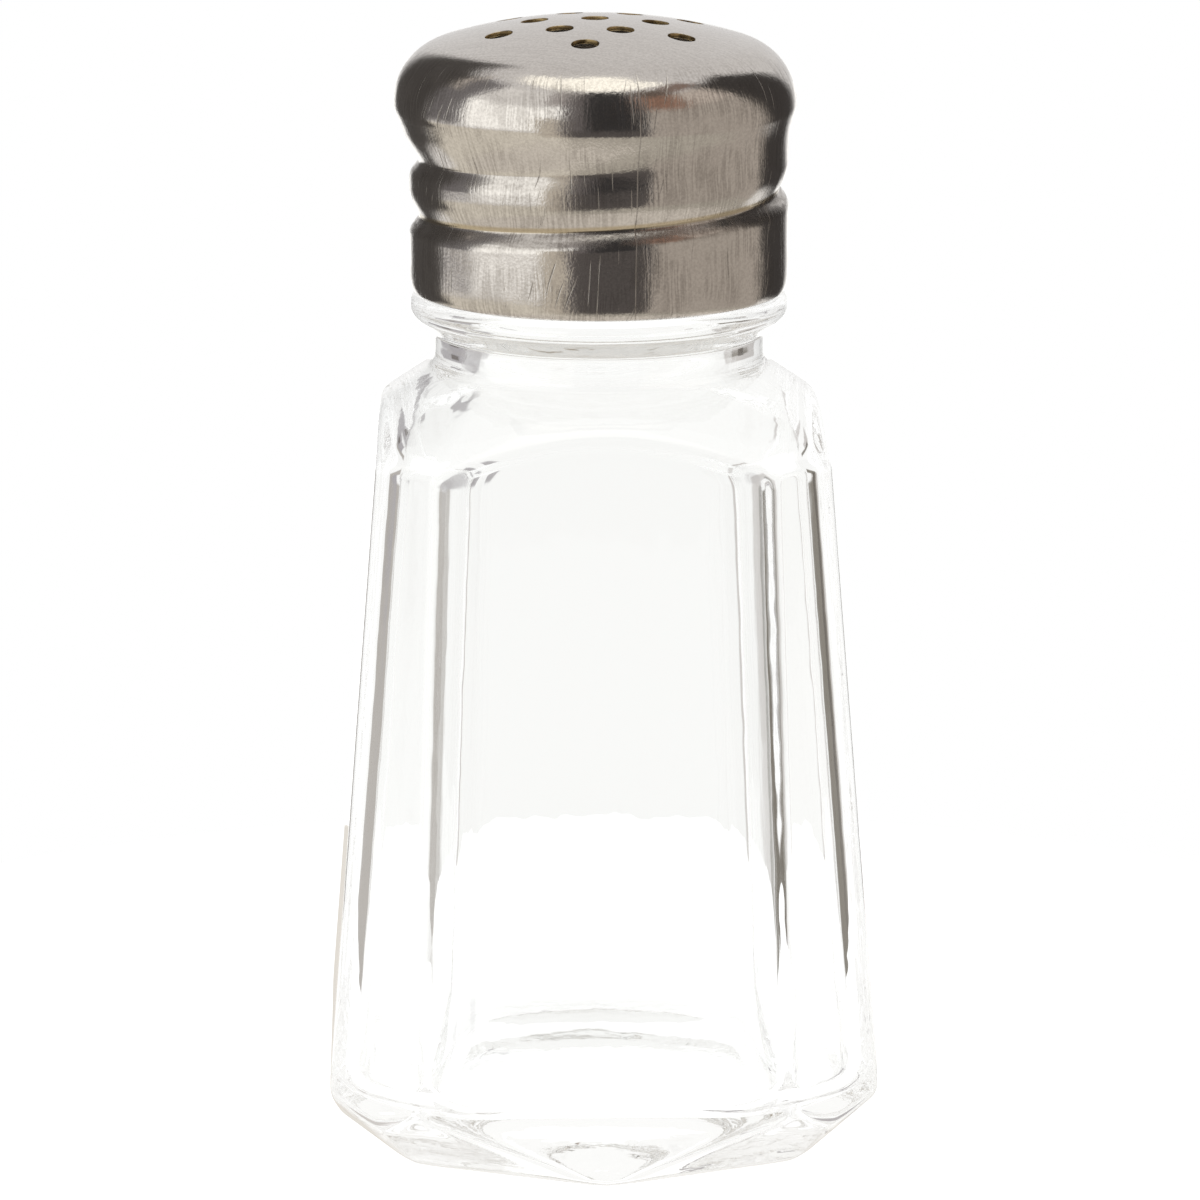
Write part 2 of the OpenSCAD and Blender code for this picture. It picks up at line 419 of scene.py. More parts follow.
@dataclass(frozen=True)
class DrawnSteel:
    """Satin steel with a fine grain, upright draw marks on its sides, faint hairlines on its crown, painted
    shade (also rougher) along the rolled groove and a painted warm reflection over the groove's crease.

    Lengths are in metres and turns in degrees. A run is the share of the height that a pattern feels,
    so a small one draws the pattern out upright.
    """

    colour: Colour = (0.70, 0.66, 0.62, 1)
    marked_and_shaded: Colour = (0.33, 0.30, 0.275, 1)
    painted_warm_reflection: Colour = (0.50, 0.41, 0.27, 1)
    roughness: float = 0.08
    relief: float = 0.00004
    relief_strength: float = 0.6
    lines: Mark = Mark(0.36, 0.06, 0.1)
    scratches: Mark = Mark(0.45, 0.22, -0.35)
    grain: Mark = Mark(0.26, 0.08, 0.12)
    dent_height: float = 3.0
    dent_scale: float = 230.0
    groove_shade_rough: float = 0.25
    side_r: float = 0.017
    crown_z: tuple[float, float] = (0.0975, 0.0992)
    waver: float = 0.0012
    waver_scale: float = 160.0
    line_run: float = 0.05
    line_scale: float = 2300.0
    line_detail: float = 1.5
    line_width: tuple[float, float] = (0.11, 0.03)
    line_patches: Spots = Spots(330.0, 1.0, 0.36, 0.62)
    hair_run: float = 0.06
    hair_slope: float = 0.5
    hair_share: float = 0.45
    hairs: Spots = Spots(3600.0, 2.0, 0.3, 0.7)
    upright_run: float = 0.03
    uprights: Spots = Spots(3900.0, 1.0, 0.69, 0.75)
    leaner_run: float = 0.06
    leaner_slope: float = -0.28
    leaner_seed: float = 3.0
    leaners: Spots = Spots(3600.0, 1.0, 0.64, 0.71)
    leaner_patches: Spots = Spots(150.0, 0.0, 0.5, 0.62)
    specks: Spots = Spots(4300.0, 2.0, 0.32, 0.68)
    long_turn: float = -80.3
    long_mid_z: float = 0.086
    long_lean: float = 0.9
    long_width: tuple[float, float] = (0.0045, 0.002)
    groove_mid_z: float = 0.08355
    groove_lead: float = 0.00508
    groove_shade_low: tuple[float, float] = (-0.0016, -0.0011)
    second_low: tuple[float, float] = (-0.0014, -0.0009)
    crease_edge: tuple[float, float] = (-0.0001, 0.0001)
    second_fade: tuple[float, float] = (315.0, 207.0)
    second_share: float = 0.7
    groove_shade_least: float = 0.15
    groove_shade_more: float = 0.45
    groove_shade_run: float = 0.004
    groove_shade_spots: Spots = Spots(2600.0, 3.0, 0.3, 0.62)
    painted_warm_reflection_top: tuple[float, float] = (0.0003, 0.0006)
    painted_warm_reflection_share: float = 0.8

    def material(self) -> bpy.types.Material:
        """Builds the steel.

        Returns:
            The material.
        """
        made, sheet, shader = blank_material("drawn_satin_steel")
        place = sheet.add("ShaderNodeTexCoord").outputs["Object"]
        marks = sheet.add("ShaderNodeGroup", node_tree=self.mark_group())
        stain = sheet.add("ShaderNodeGroup", node_tree=self.groove_light_group())
        for node in (marks, stain):
            sheet.feed(node.inputs["Place"], place)
        # Painted shade along the groove, which also roughens the steel there, and a painted warm reflection
        # over its crease.
        groove_shade = stain.outputs["Painted Shade"]
        kinds = [
            (marks.outputs["Lines"], self.lines),
            (marks.outputs["Scratch"], self.scratches),
            (marks.outputs["Grain"], self.grain),
        ]
        shader.inputs["Metallic"].default_value = 1.0
        # Real marks and the painted groove shade both pull the colour towards the darker tone.
        marks_and_shade = sheet.summed(groove_shade, *((mask, mark.colour) for mask, mark in kinds))
        colour = sheet.mix(sheet.math("MINIMUM", marks_and_shade, 1.0), self.colour, self.marked_and_shaded)
        # Painted warm reflection: a golden line over the groove's crease.
        sheet.feed(shader.inputs["Base Color"], sheet.mix(stain.outputs["Painted Warm Reflection"], colour, self.painted_warm_reflection))
        rough = sheet.summed(self.roughness, *((mask, mark.rough) for mask, mark in kinds))
        sheet.feed(shader.inputs["Roughness"], sheet.summed(rough, (groove_shade, self.groove_shade_rough)))
        height = sheet.summed(0.0, *((mask, mark.height) for mask, mark in kinds))
        height = sheet.summed(height, (marks.outputs["Dents"], self.dent_height))
        sheet.emboss(shader, height, self.relief_strength, self.relief)
        return made

    def mark_group(self) -> bpy.types.NodeTree:
        """The group that marks the sides with upright lines and scratches and the crown with hairlines.

        Returns:
            The group's tree.
        """
        sheet = new_group(
            "draw_marks",
            {"Place": "NodeSocketVector"},
            {name: "NodeSocketFloat" for name in ("Lines", "Scratch", "Grain", "Dents")},
        )
        place = sheet.tree.nodes["in"].outputs["Place"]
        gives = sheet.tree.nodes["out"].inputs
        x, y, z = sheet.axes(place)
        turn = sheet.math("ARCTAN2", y, x)
        upper = sheet.step(z, *self.crown_z)
        side = sheet.math("SUBTRACT", 1.0, upper)
        bent = sheet.math("MULTIPLY", turn, self.side_r)
        bent = sheet.summed(bent, (sheet.noise(place, self.waver_scale, 1.0), self.waver))
        sheet.feed(gives["Lines"], self.line_mask(sheet, place, bent, upper))
        upright = sheet.joined(bent, sheet.math("MULTIPLY", z, self.upright_run), 0.0)
        upright = self.uprights.mask(sheet, upright)
        leaning = sheet.joined(
            sheet.summed(bent, (z, self.leaner_slope)),
            sheet.math("MULTIPLY", z, self.leaner_run),
            self.leaner_seed,
        )
        leaning = sheet.math(
            "MULTIPLY",
            self.leaners.mask(sheet, leaning),
            self.leaner_patches.mask(sheet, place),
        )
        off = sheet.summed(turn, (z, -self.long_lean))
        off = sheet.math("SUBTRACT", off, math.radians(self.long_turn) - self.long_lean * self.long_mid_z)
        long = sheet.step(sheet.math("ABSOLUTE", off), *self.long_width)
        scratch = sheet.math("MAXIMUM", sheet.math("MAXIMUM", upright, leaning), long)
        sheet.feed(gives["Scratch"], sheet.math("MULTIPLY", scratch, side))
        sheet.feed(gives["Grain"], self.specks.mask(sheet, place))
        sheet.feed(gives["Dents"], sheet.math("MULTIPLY", sheet.noise(place, self.dent_scale, 1.0), side))
        return sheet.tree

    def line_mask(
        self,
        sheet: NodeSheet,
        place: bpy.types.NodeSocket,
        bent: bpy.types.NodeSocket,
        upper: bpy.types.NodeSocket,
    ) -> bpy.types.NodeSocket:
        """Fine upright lines on the sides and hairlines on the crown.

        Args:
            sheet: The group's sheet.
            place: The place on the cap.
            bent: The wavering way round the side.
            upper: How far the place lies on the crown.

        Returns:
            The lines, as a value from 0 to 1.
        """
        x, y, z = sheet.axes(place)
        along = sheet.joined(bent, sheet.math("MULTIPLY", z, self.line_run), 0.0)
        fine = sheet.math("SUBTRACT", sheet.noise(along, self.line_scale, self.line_detail), 0.5)
        fine = sheet.step(sheet.math("ABSOLUTE", fine), *self.line_width)
        fine = sheet.math("MULTIPLY", fine, self.line_patches.mask(sheet, place))
        slanted = sheet.summed(y, (x, self.hair_slope))
        over = sheet.joined(sheet.math("MULTIPLY", x, self.hair_run), slanted, 0.0)
        hair = sheet.math("MULTIPLY", self.hairs.mask(sheet, over), self.hair_share)
        change = sheet.math("SUBTRACT", hair, fine)
        return sheet.math("MULTIPLY_ADD", change, upper, fine)

    def groove_light_group(self) -> bpy.types.NodeTree:
        """The group that follows the rolled groove: painted shade, also rougher, on its lower flank, and a
        painted warm reflection line over its crease.

        Returns:
            The group's tree.
        """
        sheet = new_group(
            "groove_shade_and_reflection",
            {"Place": "NodeSocketVector"},
            {"Painted Shade": "NodeSocketFloat", "Painted Warm Reflection": "NodeSocketFloat"},
        )
        place = sheet.tree.nodes["in"].outputs["Place"]
        gives = sheet.tree.nodes["out"].inputs
        x, y, z = sheet.axes(place)
        turn = sheet.math("WRAP", sheet.math("ARCTAN2", y, x), 2.5 * math.pi, 0.5 * math.pi)
        start = self.groove_mid_z - self.groove_lead / 2
        above = sheet.math("SUBTRACT", z, sheet.summed(start, (turn, self.groove_lead / (2 * math.pi))))
        ragged = sheet.joined(sheet.math("MULTIPLY", turn, self.groove_shade_run), 0.0, z)
        ragged = self.groove_shade_spots.mask(sheet, ragged)
        # Painted shade on the groove's lower flank and on the flank of its next turn, ragged in spots.
        groove_shade = sheet.between(above, self.groove_shade_low, self.crease_edge)
        next_turn = sheet.math("SUBTRACT", above, self.groove_lead)
        fade = sheet.step(turn, *(math.radians(a) for a in self.second_fade))
        second = sheet.between(next_turn, self.second_low, self.crease_edge)
        second = sheet.math("MULTIPLY", second, sheet.math("MULTIPLY", fade, self.second_share))
        both = sheet.math("MAXIMUM", groove_shade, second)
        thick = sheet.summed(self.groove_shade_least, (ragged, self.groove_shade_more))
        sheet.feed(gives["Painted Shade"], sheet.math("MULTIPLY", both, thick))
        # Painted warm reflection just over the crease.
        painted_warm_reflection = sheet.between(above, self.crease_edge, self.painted_warm_reflection_top)
        sheet.feed(gives["Painted Warm Reflection"], sheet.math("MULTIPLY", painted_warm_reflection, self.painted_warm_reflection_share))
        return sheet.tree


@dataclass(frozen=True)
class DullSteel:
    """Steel that no polish reaches, with darker spots at random, which can take a painted glow in rings that
    shows only on rays through the glass.
    """

    name: str
    colour: Colour
    stain: Colour
    roughness: float
    metallic: float = 0.0
    painted_glow: float = 0.0
    painted_glow_colour: Colour = (1.0, 0.98, 0.94, 1)
    painted_glow_ring_colour: Colour = (0.38, 0.31, 0.22, 1)
    spots: Spots = Spots(900.0, 2.0, 0.4, 0.65)
    painted_glow_rings: Spots = Spots(2600.0, 1.5, 0.6, 0.7)
    ring_stretch: tuple[float, float, float] = (0.08, 0.08, 1.0)
    rough_scale: float = 3000.0
    rough_more: float = 0.2

    def material(self) -> bpy.types.Material:
        """Builds the steel.

        Returns:
            The material.
        """
        made, sheet, shader = blank_material(self.name)
        place = sheet.add("ShaderNodeTexCoord").outputs["Object"]
        shader.inputs["Metallic"].default_value = self.metallic
        colour = sheet.mix(self.spots.mask(sheet, place), self.colour, self.stain)
        sheet.feed(shader.inputs["Base Color"], colour)
        specks = sheet.noise(place, self.rough_scale, 1.0)
        sheet.feed(shader.inputs["Roughness"], sheet.summed(self.roughness, (specks, self.rough_more)))
        # Painted glow: emission in rings, seen only on rays through the glass.
        if self.painted_glow > 0:
            painted_glow_rings = self.painted_glow_rings.mask(sheet, sheet.stretched(place, self.ring_stretch))
            lit = sheet.mix(painted_glow_rings, self.painted_glow_colour, self.painted_glow_ring_colour)
            through = sheet.add("ShaderNodeLightPath").outputs["Is Transmission Ray"]
            sheet.feed(shader.inputs["Emission Color"], sheet.mix(through, (0, 0, 0, 1), lit))
            shader.inputs["Emission Strength"].default_value = self.painted_glow
        return made


# The cap's inside: its dark brown is painted shade, and its painted glow shows through the glass.
INSIDE_PAINTED_SHADE_AND_GLOW = DullSteel(
    "inside_steel_painted_shade_and_glow", (0.20, 0.16, 0.12, 1), (0.10, 0.075, 0.05, 1), roughness=0.4, painted_glow=0.62
)
# Hole walls: golden-brown metal with darker brown spots at random.
GOLDEN_HOLE_WALL = DullSteel(
    "golden_brown_hole_wall", (0.62, 0.47, 0.24, 1), (0.20, 0.14, 0.07, 1), roughness=0.45, metallic=1.0
)


@dataclass(frozen=True)
class Row:
    """One ring of a glass skin.

    The ring follows the panels, pulled in by pull, but no farther out than limit. The share of the way
    from a circle of radius core to that line is taken.
    """

    z: float
    limit: float
    pull: float = 0.0
    share: float = 1.0
    core: float = 0.0


@dataclass(frozen=True)
class Panels:
    """Eight leaning panels, four wide and four narrow, at one depth in the glass.

    Sizes are in millimetres.
    """

    wide: float
    narrow: float
    lean: float
    ridge_r: float
    foot_corner_r: float = 0.0
    heel_z: float = 0.0
    heel_ridge_z: float = 0.0
    heel_blend: float = 1.0
    heel_over: float = 2.0

    def ridge_turn(self, z: float) -> float:
        """Angle in radians of a ridge from the middle of a wide panel, at a height."""
        wide, narrow = self.wide - self.lean * z, self.narrow - self.lean * z
        return math.atan2(math.sqrt(2) * narrow - wide, wide)

    def side_r(self, local: float, z: float) -> float:
        """Distance to the panels at an angle from the middle of a wide panel, up to 45 degrees.

        Args:
            local: The angle in radians.
            z: The height.

        Returns:
            The distance from the axis.
        """
        wide, narrow = self.wide - self.lean * z, self.narrow - self.lean * z
        wide_in, narrow_in = wide - self.ridge_r, narrow - self.ridge_r
        cx, cy = wide_in, math.sqrt(2) * narrow_in - wide_in
        to_wide = math.atan2(cy, cx + self.ridge_r)
        slant = self.ridge_r / math.sqrt(2)
        to_narrow = math.atan2(cy + slant, cx + slant)
        if local <= to_wide:
            return wide / math.cos(local)
        if local >= to_narrow:
            return narrow / math.cos(math.pi / 4 - local)
        along = cx * math.cos(local) + cy * math.sin(local)
        return along + math.sqrt(max(0.0, along**2 - cx**2 - cy**2 + self.ridge_r**2))

    def heel_r(self, local: float, z: float) -> float:
        """Distance to the heel's facets, which reach down to a foot with its corners under the panels.

        Args:
            local: Angle in radians from the middle of a wide panel.
            z: The height.

        Returns:
            The distance from the axis.
        """
        foot, low, top = self.foot_corner_r, self.heel_z, self.heel_ridge_z
        turn = self.ridge_turn(top)
        ridge = (self.wide - self.lean * top) / math.cos(turn)
        eighth = math.pi / 8
        flat = foot * math.cos(eighth)
        wide = foot + (self.wide - self.lean * low - foot) * z / low
        narrow = foot + (self.narrow - self.lean * low - foot) * z / low
        between = flat + (ridge * math.cos(turn - eighth) - flat) * z / top
        panels = soft_min(wide / math.cos(local), narrow / math.cos(math.pi / 4 - local), self.heel_blend)
        return soft_min(panels, between / math.cos(local - eighth), self.heel_blend)

    def reach(self, turn: float, z: float) -> float:
        """Distance from the axis to the glass at an angle in radians and a height.

        Args:
            turn: The angle round the axis.
            z: The height.

        Returns:
            The distance.
        """
        local = turn % (math.pi / 2)
        if local > math.pi / 4:
            local = math.pi / 2 - local
        side = self.side_r(local, z)
        if self.heel_z and z < self.heel_ridge_z + self.heel_over:
            return soft_min(side, self.heel_r(local, z), self.heel_blend)
        return side


@dataclass
class GlassJar:
    """The glass: a turned foot, shoulder, neck and finish on a leaning eight-sided body.

    Sizes are in millimetres and degrees.
    """

    half_w: float = 25.2
    lean: float = math.tan(math.radians(4.57))
    narrow_step: float = 4.6
    ridge_r: float = 1.9
    wall: float = 2.5
    narrow_wall: float = 3.6
    cavity_ridge_r: float = 7.0
    floor_t: float = 5.6
    floor_r: float = 3.4
    foot_corner_r: float = 24.1
    heel_z: float = 5.1
    heel_ridge_z: float = 6.6
    foot_edge_r: float = 0.9
    dish_r: float = 17.57
    push_up: float = 1.3
    neck_z: float = 70.5
    neck_r: float = 14.9
    neck_fillet_r: float = 1.5
    shoulder_slope: float = 33.5
    bore_r: float = 12.0
    bore_fillet_r: float = 3.8
    bead_z: float = 76.85
    bead_r: float = 17.05
    bead_edge_r: float = 1.3
    bead_under_slope: float = 35.0
    bead_fillet_r: float = 1.0
    rim_z: float = 89.65
    finish_r: float = 14.6
    mouth_edge_r: float = 1.2
    thread_h: float = 0.9
    thread_w: float = 2.0
    thread_lead: float = 5.08
    thread_mid_z: float = 83.55
    blend: float = 1.2
    cavity_blend: float = 2.5
    shoulder_wall: float = 2.1
    sector_steps: int = 40
    spin_r: float = 10.0
    close_rows_z: float = 9.4
    row_gap: float = 0.2
    last_row_z: float = 59.5
    shoulder_from_z: float = 60.0
    hollow_from_z: float = 50.0
    hollow_gap: float = 0.5
    mouth_slip_r: float = 0.6
    crowd_share: float = 0.4
    share_slip: float = 1e-9
    crowd_half: float = 3.6
    thread_run_share: float = 0.08
    thread_flat_share: float = 0.2
    thread_flank_share: float = 0.3

    def outer_panels(self) -> Panels:
        """The panels of the outside."""
        return Panels(
            self.half_w,
            self.half_w + self.narrow_step,
            self.lean,
            self.ridge_r,
            self.foot_corner_r,
            self.heel_z,
            self.heel_ridge_z,
        )

    def inner_panels(self) -> Panels:
        """The panels of the hollow."""
        return Panels(
            self.half_w - self.wall,
            self.half_w + self.narrow_step - self.narrow_wall,
            self.lean,
            self.cavity_ridge_r,
        )

    def outer_rows(self) -> list[Row]:
        """Rings of the outside from the middle of the foot to the rim.

        Returns:
            The rings, in order.
        """
        far = self.half_w * 2
        sphere = (self.dish_r**2 + self.push_up**2) / (2 * self.push_up)
        dish_a = math.degrees(math.acos(self.dish_r / sphere))
        dish = arc(0, self.push_up - sphere, sphere, 90, dish_a, 8)
        rows = [Row(z, 0.0, core=r, share=0.0) for r, z in dish]
        edge = self.foot_edge_r
        rows += [Row(0.0, far, edge, i / 5, self.dish_r) for i in range(1, 5)]
        rows += [Row(edge * (1 + math.sin(a)), far, edge * (1 - math.cos(a))) for a in turns(-90, -8, 7)]
        rows += [Row(z, far) for _, z in straight((0, edge), (0, self.close_rows_z), 34)]
        upper = straight((0, self.close_rows_z + self.row_gap), (0, self.last_row_z), 9)
        rows += [Row(z, far) for _, z in upper]
        fall = math.tan(math.radians(self.shoulder_slope))
        fillet_z = self.neck_z + self.neck_fillet_r * math.tan(math.radians(45 - self.shoulder_slope / 2))
        fillet = arc(
            self.neck_r + self.neck_fillet_r, fillet_z, self.neck_fillet_r, 270 - self.shoulder_slope, 180, 7
        )
        low_z = self.shoulder_from_z
        low = (self.neck_r + (self.neck_z - low_z) / fall, low_z)
        line = straight(low, fillet[0], 36)[:-1]
        line += fillet
        bead_turn = 90 - self.bead_under_slope
        t = math.radians(bead_turn)
        cx, cz = self.bead_r - self.bead_edge_r, self.bead_z - self.bead_edge_r
        under_run = cx + self.bead_edge_r * math.cos(t) - self.neck_r - self.bead_fillet_r * (1 - math.cos(t))
        under_z = (
            cz
            - (self.bead_edge_r + self.bead_fillet_r) * math.sin(t)
            - under_run * math.tan(math.radians(self.bead_under_slope))
        )
        line += arc(self.neck_r + self.bead_fillet_r, under_z, self.bead_fillet_r, 180, 180 - bead_turn, 6)
        line += arc(cx, cz, self.bead_edge_r, -bead_turn, 90, 14)
        line += straight((cx, self.bead_z), (self.finish_r, self.bead_z), 2)[1:]
        mouth = arc(
            self.finish_r - self.mouth_edge_r, self.rim_z - self.mouth_edge_r, self.mouth_edge_r, 0, 90, 8
        )
        line += straight((self.finish_r, self.bead_z), mouth[0], 44)[1:-1]
        line += mouth
        return rows + [Row(z, r) for r, z in line]

    def inner_rows(self) -> list[Row]:
        """Rings of the hollow from the rim down to the middle of its floor.

        Returns:
            The rings, in order.
        """
        slip = self.mouth_slip_r
        rim = self.finish_r - self.mouth_edge_r
        line = [(rim, self.rim_z)]
        line += arc(self.bore_r + slip, self.rim_z - slip, slip, 90, 180, 5)
        fall = math.radians(self.shoulder_slope)
        root_z = self.neck_z + (self.neck_r - self.bore_r) * math.tan(fall)
        root_z -= self.shoulder_wall / math.cos(fall)
        fillet_z = root_z + self.bore_fillet_r * math.tan(math.radians(45) - fall / 2)
        fillet = arc(
            self.bore_r + self.bore_fillet_r, fillet_z, self.bore_fillet_r, 180, 270 - self.shoulder_slope, 9
        )
        line += straight(line[-1], fillet[0], 6)[1:]
        line += fillet[1:]
        low_z = self.hollow_from_z
        low = (self.bore_r + (root_z - low_z) / math.tan(fall), low_z)
        line += straight(fillet[-1], low, 48)[1:]
        rows = [Row(z, r) for r, z in line]
        far = self.half_w * 2
        top_z = self.floor_t + self.floor_r
        rows += [Row(z, far) for _, z in straight((0, low_z - self.hollow_gap), (0, top_z), 8)]
        rows += [
            Row(top_z - self.floor_r * math.sin(a), far, self.floor_r * (1 - math.cos(a)))
            for a in turns(0, 90, 14)[1:]
        ]
        rows += [Row(self.floor_t, far, self.floor_r, 1 - i / 8) for i in range(1, 8)]
        rows += [Row(self.floor_t, 0.0, share=0.0)]
        return rows

    def crowded(self, turn: float, ridge: float) -> float:
        """Moves an evenly spaced angle so that the stations crowd round the ridges.

        Args:
            turn: Even angle in radians.
            ridge: Angle of the ridge in degrees from the middle of a wide panel.

        Returns:
            The new angle in radians.
        """
        eighth, rest = divmod(math.degrees(turn) % 360.0, 45.0)
        share = rest / 45.0 if eighth % 2 == 0 else 1 - rest / 45.0
        near, half = self.crowd_share, self.crowd_half
        marks = ((0.0, 0.0), (near, ridge - half), (2 * near, ridge + half), (1.0, 45.0))
        for (s0, a0), (s1, a1) in zip(marks, marks[1:]):
            if share <= s1 + self.share_slip:
                local = a0 + (a1 - a0) * (share - s0) / (s1 - s0)
                break
        return math.radians(eighth * 45 + (local if eighth % 2 == 0 else 45 - local))

    def thread_r(self, turn: float, z: float) -> float:
        """How far the glass thread stands out at an angle in radians and a height.

        Args:
            turn: The angle round the axis.
            z: The height.

        Returns:
            The height of the thread there.
        """
        angle = (math.degrees(turn) + 90) % 360 - 90
        run = ease(min(angle + 90, 270 - angle) / (360 * self.thread_run_share))
        off = abs(z - self.thread_mid_z - self.thread_lead * angle / 360) / self.thread_w
        return self.thread_h * run * (1 - ease((off - self.thread_flat_share) / self.thread_flank_share))

    def turned(self, rows: list[Row], panels: Panels, blend: float) -> bmesh.types.BMesh:
        """Spins an outline and presses it onto the leaning panels.

        Args:
            rows: Rings from one end to the other.
            panels: The panels that they follow.
            blend: How widely the turned forms run into the panels.

        Returns:
            The spun skin, open at the rim.
        """
        bm = bmesh.new()
        number = bm.verts.layers.int.new("row")
        verts = [
            bm.verts.new((0 if row.share == 0 and row.core == 0 else self.spin_r, 0, row.z)) for row in rows
        ]
        for i, vert in enumerate(verts):
            vert[number] = i
        edges = [bm.edges.new(pair) for pair in zip(verts, verts[1:])]
        bmesh.ops.spin(
            bm,
            geom=verts + edges,
            cent=(0, 0, 0),
            axis=(0, 0, 1),
            dvec=(0, 0, 0),
            angle=2 * math.pi,
            steps=8 * self.sector_steps,
            use_merge=True,
        )
        ridge = math.degrees(self.outer_panels().ridge_turn(0.5 * self.neck_z))
        for vert in bm.verts:
            if vert.co.xy.length < CLOSE:
                continue
            row = rows[vert[number]]
            turn = self.crowded(math.atan2(vert.co.y, vert.co.x), ridge)
            r = row.core
            if row.share and row.z < self.neck_z + 1:
                out = soft_min(row.limit, panels.reach(turn, row.z) - row.pull, blend)
                r += row.share * (out - row.core)
            elif row.share:
                r = row.limit
            if panels.heel_z and row.z > self.bead_z and abs(r - self.finish_r) < CLOSE:
                r += self.thread_r(turn, row.z)
            vert.co = (r * math.cos(turn), r * math.sin(turn), row.z)
        return bm

    def build(self) -> bpy.types.Object:
        """Builds the glass as one closed skin.

        Returns:
            The piece, without its material.
        """
        bm = self.turned(self.outer_rows(), self.outer_panels(), self.blend)
        inside = self.turned(self.inner_rows(), self.inner_panels(), self.cavity_blend)
        take_in(bm, inside)
        bmesh.ops.remove_doubles(bm, verts=bm.verts, dist=CLOSE)
        bmesh.ops.recalc_face_normals(bm, faces=bm.faces)
        return finish_mesh(bm, "clear_glass_jar")

    def dress(self, made: bpy.types.Object, glass: bpy.types.Material) -> None:
        """Puts the glass on, and lets the piece stand for the frame's jar.

        Args:
            made: The jar.
            glass: Its material.
        """
        made.data.materials.append(glass)
        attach(made, Part.JAR.value)
        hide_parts("glass_jar")


